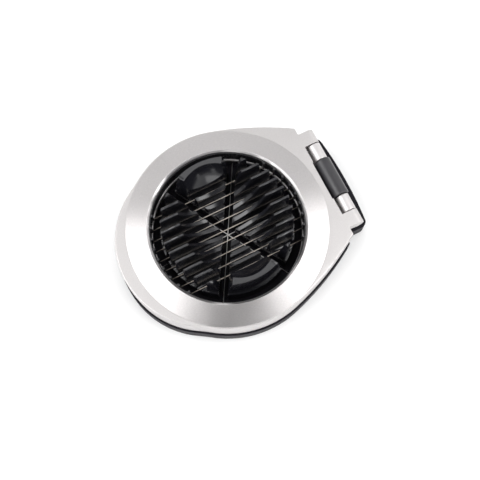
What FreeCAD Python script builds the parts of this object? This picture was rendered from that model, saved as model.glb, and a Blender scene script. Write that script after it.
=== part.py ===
import FreeCAD
import Part
import math
import os
import re
import Sketcher

# A two-in-one egg cutter, closed. A black base carries a ribbed egg cradle and the middle
# knuckle of a five-knuckle hinge. The lower frame holds three crossed wedge wires, and the
# frame on top of it holds nine parallel slicing wires. Both swing up about the same pin.
#
# Millimetres, +Z up. Drawing frame: the window's axis is x = y = 0, the hinge is at +X and
# its pin lies along Y. Each piece's Placement then puts the middle of the base at the origin.

DIMENSIONS = {
    # Plan outline: a round body, a thumb lip at the front and flanks that run to the hinge
    "side_radius": 49.8,
    "front_reach": 55.2,
    "front_radius": 43.2,
    "front_blend": 60,
    "flank_radius": 150,
    "corner_x": 52.3,
    "corner_y": 30.6,
    "hinge_land": 5,
    # Heights of the stack
    "base_top": 9.5,
    "wedge_bottom": 9.8,
    "wedge_top": 19.6,
    "slicing_bottom": 19.9,
    "apron_top": 26.3,
    "lip_top": 28.5,
    # Base moulding
    "base_margin": 0.5,
    "tail_reach": 66.9,
    "tail_sweep": 200,
    "tail_half": 26.2,
    "tail_round": 3.5,
    "skirt_wall": 2.5,
    "deck_wall": 2.5,
    "boss_depth": 5,
    "boss_wall": 2.4,
    "spigot_radius": 24,
    "spigot_depth": 3.2,
    "post_half_width": 10.05,
    "post_radius": 4.2,
    "post_back": 61.2,
    "post_drop": 3,
    # Egg cradle
    "cradle_top": 38,
    "cradle_radius": 31.4,
    "cradle_root_radius": 31.8,
    "cradle_foot_radius": 32.6,
    "cradle_step": 21.5,
    "egg_radius": 22.4,
    "egg_half_length": 30.5,
    "egg_floor": 21.8,
    "slot_floor": 20,
    "slot_half_root": 1.6,
    "slot_half_top": 2,
    "deep_slot_half": 1.4,
    "wedge_slot_floor": 10,
    "wedge_slot_half_root": 1.9,
    "wedge_slot_half_knee": 2.2,
    "wedge_slot_knee": 27,
    "wedge_slot_half_top": 4.5,
    # Slicing frame casting
    "window_radius": 37.6,
    "lip_radius": 38.7,
    "lip_bevel": 0.8,
    "lip_bottom": 26.6,
    "crease_radius": 49,
    "crease_step": 0.25,
    "frame_wall": 2.4,
    "seat_inner_radius": 44,
    "seat_radius": 47.4,
    "seat_height": 24.6,
    "collar_room": 39.5,
    "rim_round": 0.7,
    # Wedge frame casting
    "wedge_inset": 0.4,
    "wedge_window": 36.4,
    "wedge_ceiling": 17.6,
    "ear_foot": 11,
    "ear_foot_back": 53.5,
    # Wire rings
    "ring_outer_radius": 47.2,
    "ring_lift": 0.3,
    "ring_top_radius": 37.2,
    "ring_root_radius": 36.8,
    "wedge_ring_radius": 37.3,
    "collar_radius": 39.3,
    "groove_inner": 40.5,
    "groove_outer": 43.5,
    "groove_depth": 2.6,
    "wire_slot_width": 0.7,
    "guide_radius": 0.65,
    "guide_rise": 0.8,
    # Wires
    "wire_radius": 0.25,
    "wire_pitch": 5.2,
    "slicing_wire_height": 21.1,
    "wedge_wire_height": 11.1,
    "wedge_wire_step": 0.55,
    "ferrule_half": 0.7,
    "ferrule_length": 1.6,
    # Hinge
    "hinge_x": 57.1,
    "hinge_z": 22.8,
    "outer_knuckle_radius": 3.5,
    "outer_knuckle_start": 19.35,
    "outer_knuckle_end": 26.6,
    "inner_knuckle_radius": 3.4,
    "inner_knuckle_start": 10.35,
    "inner_knuckle_end": 19.05,
    "post_notch_x": 51.8,
    "pin_radius": 1.5,
    "pin_play": 0.05,
    "pin_blind_end": 24.8,
}
SLICING_WIRES = 9
WEDGE_WIRES = 3
WEDGE_ANGLE = 180 // WEDGE_WIRES
SLICING_ROWS = [row - SLICING_WIRES // 2 for row in range(SLICING_WIRES)]
ORIGIN_SHIFT = "(front_reach + base_margin - tail_reach) / 2"

doc = FreeCAD.newDocument("egg_cutter")
sheet = doc.addObject("Spreadsheet::Sheet", "Dimensions")
for line, (alias, number) in enumerate(DIMENSIONS.items(), 1):
    sheet.set("A%d" % line, alias)
    sheet.set("B%d" % line, str(number))
    sheet.setAlias("B%d" % line, alias)
doc.recompute()
nodes = []


def size(expression):
    """The value of an expression in the sheet's aliases."""
    return float(sheet.evalExpression(expression))


def bound(expression):
    """The same expression as an object outside the sheet refers to it."""
    return re.sub(r"\b[a-z]+(?:_[a-z]+)+\b", lambda alias: "Dimensions." + alias.group(0), expression)


def new_body(label):
    """An empty body for one piece, placed in the part's frame."""
    body = doc.addObject("PartDesign::Body", label)
    body.Label = label
    body.setExpression("Placement.Base.x", bound(ORIGIN_SHIFT))
    nodes.append(body)
    return body


def new_sketch(body, plane, height="0"):
    """A sketch on one of the body's origin planes, lifted along that plane's normal."""
    sketch = body.newObject("Sketcher::SketchObject", body.Label + "_sketch")
    support = next(item for item in body.Origin.OriginFeatures if item.Role == plane)
    sketch.AttachmentSupport = (support, [""])
    sketch.MapMode = "FlatFace"
    sketch.setExpression("AttachmentOffset.Base.z", bound(height))
    return sketch


def hold(sketch, curve, point, place):
    """Fix a point of a curve at a place given by two expressions."""
    for kind, axis, expression in (("DistanceX", -2, place[0]), ("DistanceY", -1, place[1])):
        if expression == "0":
            sketch.addConstraint(Sketcher.Constraint("PointOnObject", curve, point, axis))
        else:
            rule = Sketcher.Constraint(kind, -1, 1, curve, point, size(expression))
            index = sketch.addConstraint(rule)
            sketch.setExpression("Constraints[%d]" % index, bound(expression))


def polygon(sketch, corners):
    """A closed polygon whose corners are pairs of expressions."""
    points = [FreeCAD.Vector(size(x), size(y), 0) for x, y in corners]
    following = points[1:] + points[:1]
    sides = [sketch.addGeometry(Part.LineSegment(a, b)) for a, b in zip(points, following)]
    for side, after, corner in zip(sides, sides[1:] + sides[:1], corners):
        sketch.addConstraint(Sketcher.Constraint("Coincident", side, 2, after, 1))
        hold(sketch, side, 1, corner)
    return sketch


def rectangle(sketch, low, high):
    """A rectangle between two opposite corners."""
    return polygon(sketch, [low, (high[0], low[1]), high, (low[0], high[1])])


def circle(sketch, radius, centre=("0", "0")):
    """A circle of a bound radius about a bound centre."""
    middle = FreeCAD.Vector(size(centre[0]), size(centre[1]), 0)
    curve = sketch.addGeometry(Part.Circle(middle, FreeCAD.Vector(0, 0, 1), size(radius)))
    index = sketch.addConstraint(Sketcher.Constraint("Radius", curve, size(radius)))
    sketch.setExpression("Constraints[%d]" % index, bound(radius))
    hold(sketch, curve, 3, centre)
    return sketch


def arc_about(centre, start, end):
    """The shorter arc about a centre from start to end."""
    middle = (start - centre).normalize() + (end - centre).normalize()
    reach = (start - centre).Length
    return Part.Arc(start, centre + middle.normalize() * reach, end)


def plan_outline(sketch, grow, rear):
    """The plan shape, grown by a margin, with tangent arcs all round and a straight cut at rear."""
    corner = FreeCAD.Vector(size("corner_x"), size("corner_y"), 0)
    grow = size(grow)
    rear = size(rear)
    side = size("side_radius")
    front = size("front_radius")
    blend = size("front_blend")
    flank = size("flank_radius")
    offset = size("front_reach") - front
    centre = FreeCAD.Vector(0, 0, 0)
    front_centre = FreeCAD.Vector(-offset, 0, 0)
    blend_x = ((front + blend) ** 2 - (side + blend) ** 2 - offset ** 2) / (2 * offset)
    blend_y = math.sqrt((side + blend) ** 2 - blend_x ** 2)
    blend_centre = FreeCAD.Vector(blend_x, blend_y, 0)
    reach = flank - side
    swing = (flank ** 2 - corner.Length ** 2 - reach ** 2) / (2 * reach * corner.Length)
    turn = math.atan2(corner.y, corner.x) + math.acos(swing)
    outward = FreeCAD.Vector(math.cos(turn), math.sin(turn), 0)
    flank_centre = outward * -reach
    tip = FreeCAD.Vector(-size("front_reach") - grow, 0, 0)
    front_end = front_centre + (blend_centre - front_centre).normalize() * (front + grow)
    side_start = FreeCAD.Vector(blend_centre).normalize() * (side + grow)
    side_end = outward * (side + grow)
    rear_y = flank_centre.y + math.sqrt((flank + grow) ** 2 - (rear - flank_centre.x) ** 2)
    rear_end = FreeCAD.Vector(rear, rear_y, 0)
    add_mirrored(sketch, [
        arc_about(front_centre, tip, front_end),
        arc_about(blend_centre, front_end, side_start),
        arc_about(centre, side_start, side_end),
        arc_about(flank_centre, side_end, rear_end),
    ])
    sketch.addGeometry(Part.LineSegment(rear_end, FreeCAD.Vector(rear, -rear_y, 0)))
    return sketch


def tail_outline(sketch, inset):
    """The tongue behind the hinge: straight sides, round corners and a gently swept end."""
    inset = size(inset)
    half = size("tail_half") - inset
    radius = size("tail_round") - inset
    sweep = size("tail_sweep") - inset
    start = FreeCAD.Vector(size("corner_x - hinge_land"), half, 0)
    sweep_centre = FreeCAD.Vector(size("tail_reach - tail_sweep"), 0, 0)
    turn_x = sweep_centre.x + math.sqrt((sweep - radius) ** 2 - (half - radius) ** 2)
    turn_centre = FreeCAD.Vector(turn_x, half - radius, 0)
    side_end = FreeCAD.Vector(turn_x, half, 0)
    turn_end = sweep_centre + (turn_centre - sweep_centre).normalize() * sweep
    add_mirrored(sketch, [
        Part.LineSegment(start, side_end),
        arc_about(turn_centre, side_end, turn_end),
        arc_about(sweep_centre, turn_end, sweep_centre + FreeCAD.Vector(sweep, 0, 0)),
    ])
    sketch.addGeometry(Part.LineSegment(start, FreeCAD.Vector(start.x, -half, 0)))
    return sketch


def add_mirrored(sketch, stretches):
    """Adds the stretches of one half of an outline and their mirror images across the X axis."""
    for stretch in stretches:
        sketch.addGeometry(stretch)
        mirrored = stretch.copy()
        mirrored.mirror(FreeCAD.Vector(0, 0, 0), FreeCAD.Vector(1, 0, 0))
        sketch.addGeometry(mirrored)


def extrude(kind, sketch, length, symmetric=False, reverse=False):
    """A pad or a pocket of a sketch, to one side of its plane or to both."""
    feature = sketch.getParentGeoFeatureGroup().newObject("PartDesign::" + kind, kind)
    feature.Profile = sketch
    feature.SideType = "Symmetric" if symmetric else "One side"
    feature.Reversed = reverse
    feature.setExpression("Length", bound(length))
    return feature


def turn(kind, sketch, axis):
    """A full revolution or groove of a sketch about one of its own axes."""
    feature = sketch.getParentGeoFeatureGroup().newObject("PartDesign::" + kind, kind)
    feature.Profile = sketch
    feature.ReferenceAxis = (sketch, [axis])
    feature.Angle = 360
    return feature


def repeat(kind, body, original, axis, count, span, extent):
    """A linear or polar pattern of one feature along or about an origin axis."""
    pattern = body.newObject("PartDesign::" + kind, kind)
    pattern.Originals = [original]
    guide = next(item for item in body.Origin.OriginFeatures if item.Role == axis)
    setattr(pattern, "Direction" if kind == "LinearPattern" else "Axis", (guide, [""]))
    pattern.Occurrences = count
    pattern.setExpression(span, bound(extent))
    body.Tip = pattern
    return pattern


def pin_hole(body, radius, start, end):
    """A hole along the hinge axis, from one Y to another."""
    hole = circle(new_sketch(body, "XZ_Plane"), radius, ("hinge_x", "hinge_z"))
    cut = extrude("Pocket", hole, end)
    cut.SideType = "Two sides"
    cut.setExpression("Length2", bound(start))


def make_base():
    """Black moulding: hollow skirted tray with a socket for the cradle and the hinge post."""
    body = new_body("base")
    plan = plan_outline(new_sketch(body, "XY_Plane"), "base_margin", "corner_x + base_margin")
    extrude("Pad", plan, "base_top")
    tail = tail_outline(new_sketch(body, "XY_Plane"), "0")
    extrude("Pad", tail, "base_top")
    hollow = new_sketch(body, "XY_Plane")
    plan_outline(hollow, "base_margin - skirt_wall", "corner_x + base_margin - skirt_wall")
    extrude("Pocket", hollow, "base_top - deck_wall", reverse=True)
    hollow = tail_outline(new_sketch(body, "XY_Plane"), "skirt_wall")
    extrude("Pocket", hollow, "base_top - deck_wall", reverse=True)
    boss = new_sketch(body, "XY_Plane", "base_top - deck_wall - boss_depth")
    circle(boss, "spigot_radius + boss_wall")
    extrude("Pad", boss, "boss_depth + deck_wall / 2")
    socket = circle(new_sketch(body, "XY_Plane", "base_top"), "spigot_radius")
    extrude("Pocket", socket, "base_top")
    post = new_sketch(body, "XZ_Plane")
    polygon(post, [
        ("hinge_x - post_radius", "base_top - deck_wall"),
        ("post_back + post_drop", "base_top - deck_wall"),
        ("post_back + post_drop", "base_top"),
        ("post_back", "hinge_z - post_drop"),
        ("hinge_x + post_radius", "hinge_z"),
        ("hinge_x - post_radius", "hinge_z"),
    ])
    extrude("Pad", post, "2 * post_half_width", symmetric=True)
    knuckle = circle(new_sketch(body, "XZ_Plane"), "post_radius", ("hinge_x", "hinge_z"))
    extrude("Pad", knuckle, "2 * post_half_width", symmetric=True)
    pin_hole(body, "pin_radius", "tail_reach", "tail_reach")


def make_egg_cradle():
    """Black moulding: a drafted plug hollowed to an egg and slotted for both sets of wires."""
    body = new_body("egg_cradle")
    plug = new_sketch(body, "XZ_Plane")
    polygon(plug, [
        ("0", "base_top - spigot_depth"),
        ("spigot_radius", "base_top - spigot_depth"),
        ("spigot_radius", "base_top"),
        ("cradle_foot_radius", "base_top"),
        ("cradle_foot_radius", "cradle_step"),
        ("cradle_root_radius", "cradle_step"),
        ("cradle_radius", "cradle_top"),
        ("0", "cradle_top"),
    ])
    turn("Revolution", plug, "V_Axis")
    egg = new_sketch(body, "YZ_Plane")
    egg.setExpression("AttachmentOffset.Base.y", bound("egg_floor + egg_radius"))
    length = size("egg_half_length")
    along = FreeCAD.Vector(length, 0, 0)
    across = FreeCAD.Vector(0, size("egg_radius"), 0)
    half_egg = Part.Ellipse(along, across, FreeCAD.Vector(0, 0, 0))
    egg.addGeometry(Part.ArcOfEllipse(half_egg, 0, math.pi))
    egg.addGeometry(Part.LineSegment(along * -1, along))
    turn("Groove", egg, "H_Axis")
    slot = new_sketch(body, "YZ_Plane")
    first = "%d * wire_pitch" % SLICING_ROWS[0]
    polygon(slot, slot_corners(first, [
        ("slot_half_root", "slot_floor"),
        ("slot_half_top", "cradle_top"),
    ]))
    cut = extrude("Pocket", slot, "4 * cradle_radius", symmetric=True)
    span = "%d * wire_pitch" % (SLICING_WIRES - 1)
    repeat("LinearPattern", body, cut, "Y_Axis", SLICING_WIRES, "Length", span)
    deep = new_sketch(body, "YZ_Plane")
    rectangle(deep, ("-deep_slot_half", "wedge_slot_floor"), ("deep_slot_half", "egg_floor"))
    extrude("Pocket", deep, "4 * cradle_radius", symmetric=True)
    slot = new_sketch(body, "YZ_Plane")
    slot.AttachmentOffset.Rotation = FreeCAD.Rotation(FreeCAD.Vector(0, 1, 0), WEDGE_ANGLE)
    polygon(slot, slot_corners("0 * wire_pitch", [
        ("wedge_slot_half_root", "wedge_slot_floor"),
        ("wedge_slot_half_knee", "wedge_slot_knee"),
        ("wedge_slot_half_top", "cradle_top"),
    ]))
    cut = extrude("Pocket", slot, "4 * cradle_radius", symmetric=True)
    repeat("PolarPattern", body, cut, "Z_Axis", 2, "Angle", str(WEDGE_ANGLE))


def slot_corners(middle, stations):
    """Section of a slot about its middle, from half widths at heights, floor first."""
    right = [("%s + %s" % (middle, half), height) for half, height in stations]
    left = [("%s - %s" % (middle, half), height) for half, height in reversed(stations)]
    return right + left


def make_slicing_frame():
    """Satin casting: conical ring round the window, flat apron, thumb lip and outer knuckles."""
    body = new_body("slicing_frame")
    plan = plan_outline(new_sketch(body, "XY_Plane", "slicing_bottom"), "0", "corner_x")
    extrude("Pad", plan, "apron_top - slicing_bottom")
    ring = new_sketch(body, "XZ_Plane")
    polygon(ring, [
        ("window_radius", "slicing_bottom + frame_wall"),
        ("crease_radius", "slicing_bottom + frame_wall"),
        ("crease_radius", "apron_top + crease_step"),
        ("lip_radius", "lip_top"),
        ("window_radius", "lip_top - lip_bevel"),
    ])
    turn("Revolution", ring, "V_Axis")
    window = circle(new_sketch(body, "XY_Plane", "apron_top"), "window_radius")
    extrude("Pocket", window, "apron_top")
    cavity = new_sketch(body, "XZ_Plane")
    polygon(cavity, [
        ("window_radius - frame_wall", "slicing_bottom - frame_wall"),
        ("seat_radius", "slicing_bottom - frame_wall"),
        ("seat_radius", "seat_height"),
        ("seat_inner_radius", "seat_height"),
        ("collar_room", "lip_bottom"),
        ("window_radius - frame_wall", "lip_bottom"),
    ])
    turn("Groove", cavity, "V_Axis")
    hollow = new_sketch(body, "XY_Plane", "slicing_bottom")
    plan_outline(hollow, "-frame_wall", "corner_x - hinge_land")
    extrude("Pocket", hollow, "seat_height - slicing_bottom", reverse=True)
    bar = new_sketch(body, "XZ_Plane")
    rectangle(bar, ("corner_x - hinge_land", "slicing_bottom"), ("hinge_x", "apron_top"))
    extrude("Pad", bar, "2 * outer_knuckle_end", symmetric=True)
    knuckle = new_sketch(body, "XZ_Plane")
    circle(knuckle, "outer_knuckle_radius", ("hinge_x", "hinge_z"))
    extrude("Pad", knuckle, "2 * outer_knuckle_end", symmetric=True)
    notch(body, "corner_x", "outer_knuckle_start")
    notch(body, "post_notch_x", "inner_knuckle_start")
    pin_hole(body, "pin_radius + pin_play", "pin_blind_end", "2 * outer_knuckle_end")
    ease_rim(body, "apron_top", "rim_round")


def notch(body, front, half_width):
    """Room cut through a frame's hinge end for the knuckles of the pieces below."""
    room = new_sketch(body, "XZ_Plane")
    rectangle(room, (front, "base_top"), ("tail_reach", "cradle_top"))
    extrude("Pocket", room, "2 * " + half_width, symmetric=True)


def ease_rim(body, height, radius):
    """Round the long arcs of a frame's top edge."""
    doc.recompute()
    base = body.Tip
    level = size(height)
    rim = []
    for index, edge in enumerate(base.Shape.Edges, 1):
        flat = abs(edge.BoundBox.ZMin - level) + abs(edge.BoundBox.ZMax - level) < 1e-3
        outside = min(math.hypot(v.X, v.Y) for v in edge.Vertexes) > size("crease_radius") + 1e-3
        if flat and outside and isinstance(edge.Curve, Part.Circle):
            rim.append("Edge%d" % index)
    feature = body.newObject("PartDesign::Fillet", "Fillet")
    feature.Base = (base, rim)
    feature.setExpression("Radius", bound(radius))


def make_wedge_frame():
    """Bright casting under the slicing frame, with the two polished inner knuckles."""
    body = new_body("wedge_frame")
    plan = new_sketch(body, "XY_Plane", "wedge_bottom")
    plan_outline(plan, "-wedge_inset", "corner_x - wedge_inset")
    extrude("Pad", plan, "wedge_top - wedge_bottom")
    window = circle(new_sketch(body, "XY_Plane", "wedge_top"), "wedge_window")
    extrude("Pocket", window, "wedge_top")
    cavity = circle(new_sketch(body, "XY_Plane", "wedge_bottom"), "seat_radius")
    extrude("Pocket", cavity, "wedge_ceiling - wedge_bottom", reverse=True)
    hollow = new_sketch(body, "XY_Plane", "wedge_bottom")
    plan_outline(hollow, "-wedge_inset - frame_wall", "corner_x - hinge_land")
    extrude("Pocket", hollow, "wedge_ceiling - wedge_bottom", reverse=True)
    ear = new_sketch(body, "XZ_Plane")
    polygon(ear, [
        ("corner_x - hinge_land", "ear_foot"),
        ("ear_foot_back", "ear_foot"),
        ("hinge_x + inner_knuckle_radius", "hinge_z"),
        ("hinge_x - inner_knuckle_radius", "hinge_z"),
        ("hinge_x - inner_knuckle_radius", "wedge_top"),
        ("corner_x - hinge_land", "wedge_top"),
    ])
    extrude("Pad", ear, "2 * inner_knuckle_end", symmetric=True)
    knuckle = new_sketch(body, "XZ_Plane")
    circle(knuckle, "inner_knuckle_radius", ("hinge_x", "hinge_z"))
    extrude("Pad", knuckle, "2 * inner_knuckle_end", symmetric=True)
    notch(body, "post_notch_x", "inner_knuckle_start")
    pin_hole(body, "pin_radius + pin_play", "tail_reach", "tail_reach")


def make_wire_ring(label, bottom, root_radius, inner_wall):
    """Black ring that a frame clamps, with a groove below for the wires' ferrules.

    inner_wall lists the section's corners from the ring's outer edge to its inner one.
    """
    body = new_body(label)
    section = new_sketch(body, "XZ_Plane")
    polygon(section, [
        (root_radius, bottom),
        ("groove_inner", bottom),
        ("groove_inner", bottom + " + groove_depth"),
        ("groove_outer", bottom + " + groove_depth"),
        ("groove_outer", bottom),
        ("ring_outer_radius", bottom),
    ] + inner_wall)
    turn("Revolution", section, "V_Axis")
    return body


def make_slicing_wire_ring():
    """The slicing frame's ring, with an upright guide and a slot at each wire's ends."""
    bottom = "slicing_bottom + ring_lift"
    body = make_wire_ring("slicing_wire_ring", bottom, "ring_root_radius", [
        ("ring_outer_radius", "seat_height"),
        ("collar_radius", "seat_height"),
        ("collar_radius", "lip_bottom"),
        ("ring_top_radius", "lip_bottom"),
    ])
    guides = new_sketch(body, "XY_Plane", bottom)
    slots = new_sketch(body, "XY_Plane", bottom)
    for row in SLICING_ROWS:
        middle = "%d * wire_pitch" % row
        reach = "sqrt(ring_root_radius ^ 2 - (%s) ^ 2)" % middle
        for side in (reach, "-" + reach):
            circle(guides, "guide_radius", (side, middle if row else "0"))
        end = "sqrt(((groove_inner + groove_outer) / 2) ^ 2 - (%s) ^ 2)" % middle
        low = ("-" + end, middle + " - wire_slot_width / 2")
        rectangle(slots, low, (end, middle + " + wire_slot_width / 2"))
    extrude("Pad", guides, "lip_bottom + guide_rise - slicing_bottom - ring_lift")
    extrude("Pocket", slots, "slicing_wire_height + wire_slot_width / 2 - slicing_bottom - ring_lift",
            reverse=True)


def make_wedge_wire_ring():
    """The wedge frame's ring, with three crossing slots."""
    bottom = "wedge_bottom + ring_lift"
    body = make_wire_ring("wedge_wire_ring", bottom, "wedge_ring_radius", [
        ("ring_outer_radius", "wedge_ceiling"),
        ("wedge_ring_radius", "wedge_ceiling"),
    ])
    slot = new_sketch(body, "XY_Plane", bottom)
    end = "(groove_inner + groove_outer) / 2"
    rectangle(slot, ("-" + end, "-wire_slot_width / 2"), (end, "wire_slot_width / 2"))
    cut = extrude("Pocket", slot, "groove_depth - wire_radius", reverse=True)
    repeat("PolarPattern", body, cut, "Z_Axis", WEDGE_WIRES, "Angle", "120")


def make_wire(label, offset, degrees, height):
    """A taut steel wire with a square crimp at each end, seated behind the ring's inner wall."""
    seat = "sqrt(groove_inner ^ 2 - (abs(%s) - ferrule_half) ^ 2)" % offset
    if offset == "0":
        seat = "groove_inner"
    half = "(%s + ferrule_length)" % seat
    strand = doc.addObject("Part::Cylinder", label + "_strand")
    strand.setExpression("Radius", bound("wire_radius"))
    strand.setExpression("Height", bound("2 * " + half))
    pieces = [strand]
    for start in ("0", "2 * %s - ferrule_length" % half):
        ferrule = doc.addObject("Part::Box", label + "_ferrule")
        ferrule.setExpression("Length", bound("2 * ferrule_half"))
        ferrule.setExpression("Width", bound("2 * ferrule_half"))
        ferrule.setExpression("Height", bound("ferrule_length"))
        ferrule.setExpression("Placement.Base.x", bound("-ferrule_half"))
        ferrule.setExpression("Placement.Base.y", bound("-ferrule_half"))
        ferrule.setExpression("Placement.Base.z", bound(start))
        pieces.append(ferrule)
    wire = doc.addObject("Part::MultiFuse", label)
    wire.Label = label
    wire.Shapes = pieces
    bearing = math.radians(degrees)
    along = FreeCAD.Vector(math.cos(bearing), math.sin(bearing), 0)
    wire.Placement.Rotation = FreeCAD.Rotation(FreeCAD.Vector(0, 0, 1), along)
    wire.setExpression("Placement.Base.x", bound("%s - %s * cos(%d)" % (ORIGIN_SHIFT, half, degrees)))
    wire.setExpression("Placement.Base.y", bound("%s - %s * sin(%d)" % (offset, half, degrees)))
    wire.setExpression("Placement.Base.z", bound(height))
    nodes.append(wire)


def make_hinge_pin():
    """Steel pin, pressed into the base's post and free in the frames' knuckles."""
    pin = doc.addObject("Part::Cylinder", "hinge_pin")
    pin.Label = "hinge_pin"
    pin.setExpression("Radius", bound("pin_radius"))
    pin.setExpression("Height", bound("pin_blind_end + outer_knuckle_end"))
    pin.Placement.Rotation = FreeCAD.Rotation(FreeCAD.Vector(0, 0, 1), FreeCAD.Vector(0, 1, 0))
    pin.setExpression("Placement.Base.x", bound("hinge_x + " + ORIGIN_SHIFT))
    pin.setExpression("Placement.Base.y", bound("-pin_blind_end"))
    pin.setExpression("Placement.Base.z", bound("hinge_z"))
    nodes.append(pin)


make_base()
make_egg_cradle()
make_wedge_frame()
make_wedge_wire_ring()
for number in range(WEDGE_WIRES):
    level = "wedge_wire_height + %d * wedge_wire_step" % (number - 1)
    make_wire("wedge_wire_%d" % (number + 1), "0", WEDGE_ANGLE * number, level)
make_slicing_frame()
make_slicing_wire_ring()
for number, row in enumerate(SLICING_ROWS, 1):
    offset = "%d * wire_pitch" % row if row else "0"
    make_wire("slicing_wire_%d" % number, offset, 0, "slicing_wire_height")
make_hinge_pin()
doc.recompute()

for item in doc.Objects:
    if "Invalid" in item.State or "Error" in item.State:
        raise RuntimeError("%s failed: %s" % (item.Label, item.State))
for node in nodes:
    if node.Shape.isNull() or not node.Shape.isValid():
        raise RuntimeError("%s has no valid shape" % node.Label)
os.makedirs("parts", exist_ok=True)
for node in nodes:
    node.Shape.exportStep("parts/%s.step" % node.Label)
    print("%-20s %8.2f mm3, %d solid" % (node.Label, node.Shape.Volume, len(node.Shape.Solids)))
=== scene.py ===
import math
import bmesh
import bpy
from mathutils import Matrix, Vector
from mathutils.bvhtree import BVHTree


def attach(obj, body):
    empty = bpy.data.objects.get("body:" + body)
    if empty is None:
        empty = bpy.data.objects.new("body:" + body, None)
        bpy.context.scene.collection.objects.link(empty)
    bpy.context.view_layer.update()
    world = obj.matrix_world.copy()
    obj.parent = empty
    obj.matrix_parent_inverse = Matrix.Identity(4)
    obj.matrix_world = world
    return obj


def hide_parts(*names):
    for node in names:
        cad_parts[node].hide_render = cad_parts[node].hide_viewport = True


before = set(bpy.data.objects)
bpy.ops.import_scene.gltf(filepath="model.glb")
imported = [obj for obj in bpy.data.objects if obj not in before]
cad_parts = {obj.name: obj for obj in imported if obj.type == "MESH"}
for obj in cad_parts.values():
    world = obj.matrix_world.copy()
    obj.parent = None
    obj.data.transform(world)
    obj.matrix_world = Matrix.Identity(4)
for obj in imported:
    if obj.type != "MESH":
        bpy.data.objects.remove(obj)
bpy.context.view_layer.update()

# Base: a black moulded tray with a skirt, a socket for the cradle and the middle hinge post.
# Injection moulded in ABS, dull on the tray and smoother on the post that stands above its deck; the
# post also has a lighter black than the tray, which is painted light for the raised post.
# The edges are a little round and the skin shows a fine orange peel.
BASE_EDGE = 0.0005
DECK_HEIGHT = 0.0095
FLAT_WITHIN = math.radians(0.5)
FINE_SHARE = 0.25
WELD = 5e-6


def softened(name, cad_node, width, segments=2, merge=1e-7, sharp=28, shortest=0.0,
             fine_above=math.inf):
    """A copy of a CAD node with its hard edges rounded, at the origin and unturned.

    Edges that turn by more than sharp degrees are rounded, and less above the height fine_above.
    Edges shorter than shortest, as curved edges are made of, and edges of slivers stay as they are.
    Points that the rounding throws off the node's skin are laid back on it.
    """
    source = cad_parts[cad_node]
    shape = bmesh.new()
    shape.from_mesh(source.data)
    shape.transform(source.matrix_world)
    bmesh.ops.remove_doubles(shape, verts=shape.verts, dist=merge)
    bmesh.ops.dissolve_degenerate(shape, edges=shape.edges, dist=merge)
    bmesh.ops.join_triangles(shape, faces=shape.faces, angle_face_threshold=FLAT_WITHIN,
                             angle_shape_threshold=math.pi)
    for face in shape.faces:
        face.smooth = True
    rounded = shape.edges.layers.float.new("bevel_weight_edge")
    for edge in shape.edges:
        if edge.calc_face_angle(0.0) > math.radians(sharp):
            share = FINE_SHARE if edge.verts[0].co.z > fine_above else 1.0
            length = edge.calc_length()
            breadth = min(face.calc_area() for face in edge.link_faces) / length
            edge.smooth = length > shortest and breadth > share * width
            edge[rounded] = share * edge.smooth
    mesh = bpy.data.meshes.new(name)
    shape.to_mesh(mesh)
    skin = BVHTree.FromBMesh(shape)
    shape.free()
    if "custom_normal" in mesh.attributes:
        mesh.attributes.remove(mesh.attributes["custom_normal"])
    piece = bpy.data.objects.new(name, mesh)
    bpy.context.collection.objects.link(piece)
    rounding = piece.modifiers.new("rounded edges", "BEVEL")
    rounding.limit_method = "WEIGHT"
    rounding.width = width
    rounding.segments = segments
    rounding.use_clamp_overlap = False
    applied(piece)
    trimmed = bmesh.new()
    trimmed.from_mesh(piece.data)
    for point in trimmed.verts:
        nearest, _, _, distance = skin.find_nearest(point.co)
        if distance > width / 2:
            point.co = nearest
    bmesh.ops.remove_doubles(trimmed, verts=trimmed.verts, dist=WELD)
    bmesh.ops.dissolve_degenerate(trimmed, edges=trimmed.edges, dist=WELD)
    trimmed.to_mesh(piece.data)
    trimmed.free()
    weighted = piece.modifiers.new("even shading", "WEIGHTED_NORMAL")
    weighted.keep_sharp = True
    return applied(piece)


def applied(piece):
    """The piece with its modifiers made into a plain mesh."""
    depsgraph = bpy.context.evaluated_depsgraph_get()
    mesh = bpy.data.meshes.new_from_object(piece.evaluated_get(depsgraph))
    piece.modifiers.clear()
    mesh.name = piece.name
    piece.data = mesh
    return piece


def node(tree, kind, inputs=None, **settings):
    """A new node with its options set and its sockets filled from values or other sockets."""
    made = tree.nodes.new(kind)
    for name, value in settings.items():
        setattr(made, name, value)
    for name, value in (inputs or {}).items():
        if isinstance(value, bpy.types.NodeSocket):
            tree.links.new(value, made.inputs[name])
        else:
            made.inputs[name].default_value = value
    return made


def math_node(tree, operation, *values):
    """The result socket of a Math node."""
    return node(tree, "ShaderNodeMath", dict(enumerate(values)), operation=operation).outputs[0]


def spread(tree, value, low=0.0, high=1.0, to_low=0.0, to_high=1.0):
    """A value taken from one range to another and held within it."""
    ranges = {"From Min": low, "From Max": high, "To Min": to_low, "To Max": to_high, "Value": value}
    return node(tree, "ShaderNodeMapRange", ranges).outputs["Result"]


def mixed(tree, factor, first, second):
    """The colour between two others; a Mix node has them at inputs 6 and 7 and output 2."""
    colours = {"Factor": factor, 6: (*first, 1), 7: (*second, 1)}
    return node(tree, "ShaderNodeMix", colours, data_type="RGBA").outputs[2]


def shader_group(name, inputs, outputs):
    """An empty shader node group with its sockets, its input node and its output node."""
    tree = bpy.data.node_groups.new(name, "ShaderNodeTree")
    for label, kind in inputs.items():
        tree.interface.new_socket(label, in_out="INPUT", socket_type=kind)
    for label in outputs:
        tree.interface.new_socket(label, in_out="OUTPUT", socket_type="NodeSocketFloat")
    return tree, tree.nodes.new("NodeGroupInput"), tree.nodes.new("NodeGroupOutput")


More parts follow.
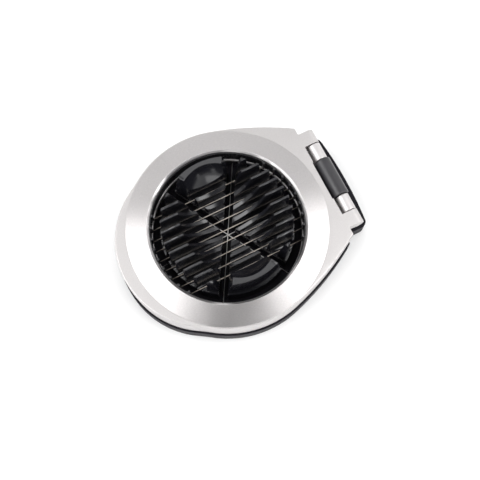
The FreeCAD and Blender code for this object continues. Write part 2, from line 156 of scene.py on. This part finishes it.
def moulded_skin_group():
    """Smears from handling, fine scratches and orange peel of a moulded plastic skin."""
    sockets = {"Place": "NodeSocketVector"}
    tree, given, result = shader_group("moulded_skin", sockets, ["Smear", "Scratch", "Peel"])
    place = given.outputs["Place"]
    smear = node(tree, "ShaderNodeTexNoise",
                 {"Vector": place, "Scale": 75.0, "Detail": 4.0, "Distortion": 0.6})
    tree.links.new(spread(tree, smear.outputs[0], 0.42, 0.68), result.inputs["Smear"])
    drawn_out = node(tree, "ShaderNodeMapping",
                     {"Vector": place, "Rotation": (0.3, 0.2, 0.7), "Scale": (1.0, 14.0, 14.0)})
    scratch = node(tree, "ShaderNodeTexNoise",
                   {"Vector": drawn_out.outputs[0], "Scale": 110.0, "Detail": 2.0})
    tree.links.new(spread(tree, scratch.outputs[0], 0.66, 0.72), result.inputs["Scratch"])
    peel = node(tree, "ShaderNodeTexNoise", {"Vector": place, "Scale": 1500.0, "Detail": 2.0})
    tree.links.new(peel.outputs[0], result.inputs["Peel"])
    return tree


moulded_skin = moulded_skin_group()
PLASTIC_IOR = 1.7
PEEL_STRENGTH = 0.35
SCRATCH_DULLING = 0.08
SMEAR_LIGHTENING = 1.35
CORNER_SAMPLES = 6


def black_plastic(name, colour, rough, peel_depth, shine=0.5, rounding=0.0):
    """Black moulded plastic, from the first to the second of the rough values where it is handled.

    rounding is the radius of corners too many to round in the mesh.
    """
    made = bpy.data.materials.new(name)
    made.use_nodes = True
    tree = made.node_tree
    tree.nodes.clear()
    place = node(tree, "ShaderNodeTexCoord").outputs["Object"]
    skin = node(tree, "ShaderNodeGroup", node_tree=moulded_skin)
    tree.links.new(place, skin.inputs["Place"])
    handled = spread(tree, skin.outputs["Smear"], to_low=rough[0], to_high=rough[1])
    scratched = math_node(tree, "MULTIPLY_ADD", skin.outputs["Scratch"], SCRATCH_DULLING, handled)
    grey = tuple(SMEAR_LIGHTENING * channel for channel in colour)
    tint = mixed(tree, skin.outputs["Smear"], colour, grey)
    bump = node(tree, "ShaderNodeBump", {
        "Strength": PEEL_STRENGTH,
        "Distance": peel_depth,
        "Height": skin.outputs["Peel"],
    })
    if rounding:
        corner = node(tree, "ShaderNodeBevel", {"Radius": rounding}, samples=CORNER_SAMPLES)
        tree.links.new(corner.outputs[0], bump.inputs["Normal"])
    surface = node(tree, "ShaderNodeBsdfPrincipled", {
        "Base Color": tint,
        "Roughness": scratched,
        "IOR": PLASTIC_IOR,
        "Specular IOR Level": shine,
        "Normal": bump.outputs[0],
    })
    node(tree, "ShaderNodeOutputMaterial", {"Surface": surface.outputs[0]})
    return made


base = softened("base_moulding", "base", BASE_EDGE)
base.data.materials.append(black_plastic("base_black", (0.012, 0.011, 0.014), rough=(0.4, 0.52),
                                         peel_depth=0.00002, shine=0.03))
# The post's black is lighter than the tray's: painted light, standing in for the light that falls on
# the raised post.
base.data.materials.append(black_plastic("post_black", (0.018, 0.017, 0.02), rough=(0.32, 0.44),
                                         peel_depth=0.00002, shine=0.35))
for face in base.data.polygons:
    face.material_index = int(face.center.z > DECK_HEIGHT + BASE_EDGE)
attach(base, "base")
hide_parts("base")

# Egg cradle: a glossy black cup for the egg, cut into ribs where the wires pass through.
# Moulded in one piece, with polished faces and dull slot floors, and pressed into the base
# with its spigot.
CRADLE_EDGE = 0.00032
SHORT_EDGE = 0.0025
SLOT_FLOOR = 0.0145
FACING_UP = 0.7
TINY_FACET = 1e-5
cradle = softened("ribbed_egg_cradle", "egg_cradle", CRADLE_EDGE, segments=3, merge=TINY_FACET,
                  shortest=SHORT_EDGE)
cradle.data.materials.append(black_plastic("cradle_black", (0.006, 0.006, 0.008), rough=(0.13, 0.2),
                                           peel_depth=0.00001, shine=0.42, rounding=CRADLE_EDGE))
cradle.data.materials.append(black_plastic("slot_black", (0.006, 0.006, 0.008), rough=(0.36, 0.48),
                                           peel_depth=0.00002, shine=0.04))
for face in cradle.data.polygons:
    face.material_index = int(face.center.z < SLOT_FLOOR and face.normal.z > FACING_UP)
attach(cradle, "base")
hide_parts("egg_cradle")

# Hinge pin: a plain steel pin through all five knuckles.
# Cut from drawn rod, pressed into the post and free in the frames' knuckles.
PIN_EDGE = 0.00025


def drawn_lines_group():
    """Lines that brushing or drawing leaves on metal, with smears from handling."""
    sockets = {"Along": "NodeSocketFloat", "Across": "NodeSocketFloat", "Place": "NodeSocketVector"}
    tree, given, result = shader_group("drawn_lines", sockets, ["Line", "Smear"])
    streak = node(tree, "ShaderNodeCombineXYZ",
                  {"X": given.outputs["Along"], "Y": given.outputs["Across"]})
    line = node(tree, "ShaderNodeTexNoise",
                {"Vector": streak.outputs[0], "Scale": 1.0, "Detail": 3.0, "Roughness": 0.6})
    tree.links.new(spread(tree, line.outputs[0], 0.3, 0.7), result.inputs["Line"])
    smear = node(tree, "ShaderNodeTexNoise",
                 {"Vector": given.outputs["Place"], "Scale": 60.0, "Detail": 4.0, "Distortion": 0.4})
    tree.links.new(spread(tree, smear.outputs[0], 0.4, 0.7), result.inputs["Smear"])
    return tree


drawn_lines = drawn_lines_group()
TURN_RADIUS = 0.045
LINE_STRENGTH = 0.3
SMEAR_DULLING = 0.05


def lined_metal(name, dark, light, rough, line_depth, along="X", centre=None, line_length=0.017,
                line_width=0.00017, anisotropy=0.0):
    """Metal with drawn lines along an axis, or level round a vertical axis when centre is given.

    The light lines have the first of the rough values, the dark ones the second. Lines round an
    axis have their length at TURN_RADIUS from it.
    """
    made = bpy.data.materials.new(name)
    made.use_nodes = True
    tree = made.node_tree
    tree.nodes.clear()
    place = node(tree, "ShaderNodeTexCoord").outputs["Object"]
    lines = node(tree, "ShaderNodeGroup", node_tree=drawn_lines)
    tree.links.new(place, lines.inputs["Place"])
    if centre:
        spoke = node(tree, "ShaderNodeVectorMath", {0: place, 1: centre}, operation="SUBTRACT")
        level = node(tree, "ShaderNodeVectorMath", {0: spoke.outputs[0], 1: (1.0, 1.0, 0.0)},
                     operation="MULTIPLY")
        radius = node(tree, "ShaderNodeVectorMath", {0: level.outputs[0]}, operation="LENGTH")
        flat = node(tree, "ShaderNodeSeparateXYZ", {0: level.outputs[0]})
        turn = math_node(tree, "ARCTAN2", flat.outputs["Y"], flat.outputs["X"])
        height = node(tree, "ShaderNodeSeparateXYZ", {0: spoke.outputs[0]}).outputs["Z"]
        lengthways = math_node(tree, "MULTIPLY", turn, TURN_RADIUS)
        across = math_node(tree, "ADD", radius.outputs["Value"], height)
    else:
        axes = node(tree, "ShaderNodeSeparateXYZ", {0: place})
        others = [axis for axis in "XYZ" if axis != along]
        lengthways = axes.outputs[along]
        across = math_node(tree, "ADD", axes.outputs[others[0]], axes.outputs[others[1]])
    tree.links.new(math_node(tree, "DIVIDE", lengthways, line_length), lines.inputs["Along"])
    tree.links.new(math_node(tree, "DIVIDE", across, line_width), lines.inputs["Across"])
    tint = mixed(tree, lines.outputs["Line"], dark, light)
    drawn = spread(tree, lines.outputs["Line"], to_low=rough[1], to_high=rough[0])
    handled = math_node(tree, "MULTIPLY_ADD", lines.outputs["Smear"], SMEAR_DULLING, drawn)
    bump = node(tree, "ShaderNodeBump", {
        "Strength": LINE_STRENGTH,
        "Distance": line_depth,
        "Height": lines.outputs["Line"],
    })
    surface = node(tree, "ShaderNodeBsdfPrincipled", {
        "Base Color": tint,
        "Metallic": 1.0,
        "Roughness": handled,
        "Normal": bump.outputs[0],
        "Anisotropic": anisotropy,
    })
    if centre:
        turned = node(tree, "ShaderNodeVectorTransform", {0: level.outputs[0]}, vector_type="VECTOR",
                      convert_from="OBJECT", convert_to="WORLD")
        tree.links.new(turned.outputs[0], surface.inputs["Tangent"])
    node(tree, "ShaderNodeOutputMaterial", {"Surface": surface.outputs[0]})
    return made


pin = softened("steel_hinge_pin", "hinge_pin", PIN_EDGE)
pin.data.materials.append(lined_metal("pin_steel", (0.5, 0.49, 0.48), (0.62, 0.61, 0.6),
                                      rough=(0.22, 0.34), line_depth=0.000004, along="Y"))
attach(pin, "base")
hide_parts("hinge_pin")

# Wedge frame: the lower bright frame, die cast in zinc alloy, with the two polished knuckles.
# Its edges are tumbled round; it swings on the pin between the base and the slicing frame.
WEDGE_EDGE = 0.00045
WINDOW_AXIS = -0.0056
WINDOW_CENTRE = (WINDOW_AXIS, 0.0, 0.0)
wedge_frame = softened("wedge_frame_casting", "wedge_frame", WEDGE_EDGE)
polished = lined_metal("polished_zinc", (0.55, 0.532, 0.53), (0.64, 0.62, 0.62), rough=(0.44, 0.52),
                       line_depth=0.000003, centre=WINDOW_CENTRE)
wedge_frame.data.materials.append(polished)
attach(wedge_frame, "wedge_frame")
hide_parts("wedge_frame")

# Wedge wire ring: the black ring inside the wedge frame, with a groove for the crimped ends.
# Moulded, then clamped into the frame's seat from below.
RING_EDGE = 0.0002
wedge_ring = softened("wedge_wire_ring_moulding", "wedge_wire_ring", RING_EDGE, merge=TINY_FACET)
ring_black = black_plastic("ring_black", (0.012, 0.012, 0.014), rough=(0.26, 0.38),
                           peel_depth=0.00001)
wedge_ring.data.materials.append(ring_black)
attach(wedge_ring, "wedge_frame")
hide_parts("wedge_wire_ring")

# Wedge wires: three spring steel wires that cross on the window's axis, one just above another.
# Drawn wire, cut to length; a square crimp at each end sits in the ring's groove.
WEDGE_COUNT = 3
STRAND_SIDES = 12
WIRE_SIZES = {
    "Seat Radius": 0.0405,
    "Wire Radius": 0.00025,
    "Crimp Length": 0.0016,
    "Crimp Half": 0.0007,
}


def taut_wires_tree():
    """Wires side by side or fanned about an axis, each with a crimp at either end.

    A strand that reaches one unit to each side is stretched to half the wire's length.
    """
    tree = bpy.data.node_groups.new("taut_wires", "GeometryNodeTree")
    tree.interface.new_socket("Wires", in_out="OUTPUT", socket_type="NodeSocketGeometry")
    tree.interface.new_socket("Count", in_out="INPUT", socket_type="NodeSocketInt")
    for label in ("Pitch", "Turn", "Level", "Rise", "Axis", *WIRE_SIZES):
        tree.interface.new_socket(label, in_out="INPUT", socket_type="NodeSocketFloat")
    tree.interface.new_socket("Steel", in_out="INPUT", socket_type="NodeSocketMaterial")
    given = tree.nodes.new("NodeGroupInput").outputs
    index = tree.nodes.new("GeometryNodeInputIndex").outputs[0]
    half_count = math_node(tree, "MULTIPLY", math_node(tree, "SUBTRACT", given["Count"], 1.0), 0.5)
    place = math_node(tree, "SUBTRACT", index, half_count)
    offset = math_node(tree, "MULTIPLY", place, given["Pitch"])
    bearing = math_node(tree, "MULTIPLY", index, given["Turn"])
    inner_side = math_node(tree, "SUBTRACT", math_node(tree, "ABSOLUTE", offset), given["Crimp Half"])
    beside = math_node(tree, "MAXIMUM", inner_side, 0.0)
    chord = math_node(tree, "SUBTRACT", math_node(tree, "POWER", given["Seat Radius"], 2.0),
                      math_node(tree, "POWER", beside, 2.0))
    seat = math_node(tree, "SQRT", chord)
    half = math_node(tree, "ADD", seat, given["Crimp Length"])
    height = math_node(tree, "MULTIPLY_ADD", index, given["Rise"], given["Level"])
    centre = node(tree, "ShaderNodeCombineXYZ", {"X": given["Axis"], "Y": offset, "Z": height})
    points = node(tree, "GeometryNodePoints", {"Count": given["Count"], "Position": centre.outputs[0]})
    rotation = node(tree, "ShaderNodeCombineXYZ", {"Z": bearing}).outputs[0]
    stretch = node(tree, "ShaderNodeCombineXYZ", {"X": half, "Y": 1.0, "Z": 1.0}).outputs[0]
    strand = node(tree, "GeometryNodeMeshCylinder",
                  {"Vertices": STRAND_SIDES, "Radius": given["Wire Radius"], "Depth": 2.0})
    lying = node(tree, "GeometryNodeTransform",
                 {"Geometry": strand.outputs["Mesh"], "Rotation": (0.0, math.pi / 2, 0.0)})
    smooth = node(tree, "GeometryNodeSetShadeSmooth", {"Geometry": lying.outputs[0]})
    strands = node(tree, "GeometryNodeInstanceOnPoints", {
        "Points": points.outputs[0],
        "Instance": smooth.outputs[0],
        "Rotation": rotation,
        "Scale": stretch,
    })
    across = math_node(tree, "MULTIPLY", given["Crimp Half"], 2.0)
    block = node(tree, "ShaderNodeCombineXYZ", {"X": given["Crimp Length"], "Y": across, "Z": across})
    crimp = node(tree, "GeometryNodeMeshCube", {"Size": block.outputs[0]})
    crimp_middle = math_node(tree, "MULTIPLY_ADD", given["Crimp Length"], 0.5, seat)
    joined = node(tree, "GeometryNodeJoinGeometry", {0: strands.outputs[0]})
    for side in (-1.0, 1.0):
        reach = math_node(tree, "MULTIPLY", crimp_middle, side)
        step = node(tree, "ShaderNodeCombineXYZ", {
            "X": math_node(tree, "MULTIPLY", reach, math_node(tree, "COSINE", bearing)),
            "Y": math_node(tree, "MULTIPLY", reach, math_node(tree, "SINE", bearing)),
        })
        ends = node(tree, "GeometryNodeSetPosition",
                    {"Geometry": points.outputs[0], "Offset": step.outputs[0]})
        crimps = node(tree, "GeometryNodeInstanceOnPoints", {
            "Points": ends.outputs[0],
            "Instance": crimp.outputs["Mesh"],
            "Rotation": rotation,
        })
        tree.links.new(crimps.outputs[0], joined.inputs[0])
    real = node(tree, "GeometryNodeRealizeInstances", {"Geometry": joined.outputs[0]})
    coated = node(tree, "GeometryNodeSetMaterial",
                  {"Geometry": real.outputs[0], "Material": given["Steel"]})
    tree.links.new(coated.outputs[0], tree.nodes.new("NodeGroupOutput").inputs[0])
    return tree


taut_wires = taut_wires_tree()


def strung(name, values, steel):
    """A set of wires from the tree, made into a plain mesh."""
    piece = bpy.data.objects.new(name, bpy.data.meshes.new(name))
    bpy.context.collection.objects.link(piece)
    setup = piece.modifiers.new("taut wires", "NODES")
    setup.node_group = taut_wires
    for item in taut_wires.interface.items_tree:
        if item.in_out == "INPUT":
            setup[item.identifier] = steel if item.name == "Steel" else values[item.name]
    return applied(piece)


wedge_steel = lined_metal("wedge_wire_steel", (0.9, 0.88, 0.86), (1.0, 0.98, 0.96),
                          rough=(0.4, 0.52), line_depth=0.000002, along="X")
wedge_wires = strung("wedge_wires", {
    "Count": WEDGE_COUNT,
    "Pitch": 0.0,
    "Turn": math.pi / WEDGE_COUNT,
    "Level": 0.01055,
    "Rise": 0.00055,
    "Axis": WINDOW_AXIS,
    **WIRE_SIZES,
}, wedge_steel)
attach(wedge_wires, "wedge_frame")
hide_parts("wedge_wire_1", "wedge_wire_2", "wedge_wire_3")

# Slicing frame: the upper satin frame, die cast, with the window's bevelled lip, the apron and
# the two outer knuckles. The conical ring is brushed round the window and the rest is blasted satin;
# the lip is painted lighter, a painted highlight along the window's edge.
FRAME_EDGE = 0.00056
LOWER_EDGES = 0.021
LIP_RADIUS = 0.0387
LIP_BOTTOM = 0.0258
CREASE_RADIUS = 0.049
RING_BOTTOM = 0.0255
slicing_frame = softened("slicing_frame_casting", "slicing_frame", FRAME_EDGE, sharp=35,
                         fine_above=LOWER_EDGES)
satin = lined_metal("satin_zinc", (0.52, 0.503, 0.5), (0.6, 0.582, 0.578), rough=(0.42, 0.52),
                    line_depth=0.000004, centre=WINDOW_CENTRE, line_length=0.0006)
brushed = lined_metal("brushed_ring", (0.52, 0.503, 0.502), (0.63, 0.608, 0.606), rough=(0.3, 0.4),
                      line_depth=0.000003, centre=WINDOW_CENTRE, line_length=0.0012, anisotropy=0.6)
# The lip is a lighter copy of the zinc: a painted highlight along the window's bevelled edge.
bright = lined_metal("lip_painted_highlight", (0.66, 0.64, 0.64), (0.76, 0.74, 0.74), rough=(0.34, 0.42),
                     line_depth=0.000002, centre=WINDOW_CENTRE)
finishes_and_lip_highlight = [satin, brushed, bright]
for finish in finishes_and_lip_highlight:
    slicing_frame.data.materials.append(finish)
for face in slicing_frame.data.polygons:
    middle = face.center
    reach = math.hypot(middle.x - WINDOW_AXIS, middle.y)
    if middle.z > LIP_BOTTOM and reach < LIP_RADIUS:
        face.material_index = finishes_and_lip_highlight.index(bright)
    elif middle.z > RING_BOTTOM and reach < CREASE_RADIUS:
        face.material_index = finishes_and_lip_highlight.index(brushed)
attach(slicing_frame, "slicing_frame")
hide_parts("slicing_frame")

# Slicing wire ring: the black ring under the slicing frame, with a small guide at each wire.
# Moulded; its collar stands up inside the window and its groove takes the crimped ends.
slicing_ring = softened("slicing_wire_ring_moulding", "slicing_wire_ring", RING_EDGE,
                        merge=TINY_FACET)
slicing_ring.data.materials.append(ring_black)
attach(slicing_ring, "slicing_frame")
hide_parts("slicing_wire_ring")

# Slicing wires: nine parallel spring steel wires across the window, one in each cradle slot.
# Drawn wire with the same crimped ends as the wedge wires.
SLICING_COUNT = 9
slicing_steel = lined_metal("slicing_wire_steel", (0.52, 0.465, 0.41), (0.68, 0.615, 0.55),
                            rough=(0.42, 0.55), line_depth=0.000002, along="X")
slicing_wires = strung("slicing_wires", {
    "Count": SLICING_COUNT,
    "Pitch": 0.0052,
    "Turn": 0.0,
    "Level": 0.0211,
    "Rise": 0.0,
    "Axis": WINDOW_AXIS,
    **WIRE_SIZES,
}, slicing_steel)
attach(slicing_wires, "slicing_frame")
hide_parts(*["slicing_wire_%d" % (number + 1) for number in range(SLICING_COUNT)])

# Studio: a round white card under the cutter in a bright room that darkens overhead.
# Softboxes left and right give the brushed ring its bright sectors, a small one above lights the
# tops of the cradle's ribs, and a low strip lights the near side.
CARD_RADIUS = 0.75
CARD_SIDES = 96
IMAGE_RIGHT = Vector((0.893, -0.449, 0))
IMAGE_UP = Vector((0.449, 0.893, 0))
GLOW_FADES_FROM = 0.5
GLOW_FADES_TO = 0.93
ROOM_GLOW = 1.0
OVERHEAD_GLOW = 0.12
card_disc = bmesh.new()
bmesh.ops.create_circle(card_disc, cap_ends=True, radius=CARD_RADIUS, segments=CARD_SIDES)
card_mesh = bpy.data.meshes.new("studio_card")
card_disc.to_mesh(card_mesh)
card_disc.free()
card = bpy.data.objects.new("studio_card", card_mesh)
bpy.context.collection.objects.link(card)
card_white = bpy.data.materials.new("card_white")
card_white.use_nodes = True
card_surface = card_white.node_tree.nodes["Principled BSDF"]
card_surface.inputs["Base Color"].default_value = (0.92, 0.92, 0.92, 1)
card_surface.inputs["Roughness"].default_value = 0.9
card_surface.inputs["Specular IOR Level"].default_value = 0.0
card.data.materials.append(card_white)

room = bpy.data.worlds.new("bright_room")
room.use_nodes = True
room_tree = room.node_tree
room_tree.nodes.clear()
sky = node(room_tree, "ShaderNodeTexCoord").outputs["Generated"]
sky_height = node(room_tree, "ShaderNodeSeparateXYZ", {0: sky}).outputs["Z"]
glow = spread(room_tree, sky_height, GLOW_FADES_FROM, GLOW_FADES_TO, ROOM_GLOW, OVERHEAD_GLOW)
far_side = node(room_tree, "ShaderNodeVectorMath", {0: sky, 1: IMAGE_UP}, operation="DOT_PRODUCT")
lean = math_node(room_tree, "MULTIPLY_ADD", far_side.outputs["Value"], sky_height, 1.0)
strength = math_node(room_tree, "MULTIPLY", glow, lean)
room_light = node(room_tree, "ShaderNodeBackground", {"Color": (1, 1, 1, 1), "Strength": strength})
node(room_tree, "ShaderNodeOutputWorld", {"Surface": room_light.outputs[0]})
bpy.context.scene.world = room

for name, across, up, height, width, depth, power in (
    ("softbox_left", -0.5, -0.13, 0.66, 0.72, 0.58, 4.8),
    ("softbox_right", 0.5, -0.04, 0.66, 0.72, 0.6, 4.8),
    ("softbox_above", -0.05, 0.19, 0.68, 0.28, 0.24, 0.33),
    ("strip_in_front", 0.0, -0.8, 0.36, 0.9, 0.26, 1.2),
):
    lamp = bpy.data.lights.new(name, "AREA")
    lamp.shape = "RECTANGLE"
    lamp.size = width
    lamp.size_y = depth
    lamp.energy = power
    softbox = bpy.data.objects.new(name, lamp)
    bpy.context.collection.objects.link(softbox)
    softbox.location = IMAGE_RIGHT * across + IMAGE_UP * up + Vector((0, 0, height))
    softbox.rotation_euler = (-softbox.location).to_track_quat("-Z", "Y").to_euler()

# Camera: placed where the photograph was taken from, almost straight above the cutter.
# Its place and lens were fitted to the window's crease, the spacing of the wires and the hinge.
LENS = 63.1
SENSOR_WIDTH = 36
CAMERA_PLACE = Vector((-0.0510, -0.1039, 0.4143))
AIM_POINT = Vector((-0.0035, -0.00934, 0.0285))
camera_data = bpy.data.cameras.new("camera")
camera_data.lens = LENS
camera_data.sensor_width = SENSOR_WIDTH
camera = bpy.data.objects.new("camera", camera_data)
bpy.context.collection.objects.link(camera)
camera.location = CAMERA_PLACE
aim = AIM_POINT - CAMERA_PLACE
camera.rotation_euler = aim.to_track_quat("-Z", "Y").to_euler()
bpy.context.scene.camera = camera
bpy.context.scene.view_settings.view_transform = "Standard"
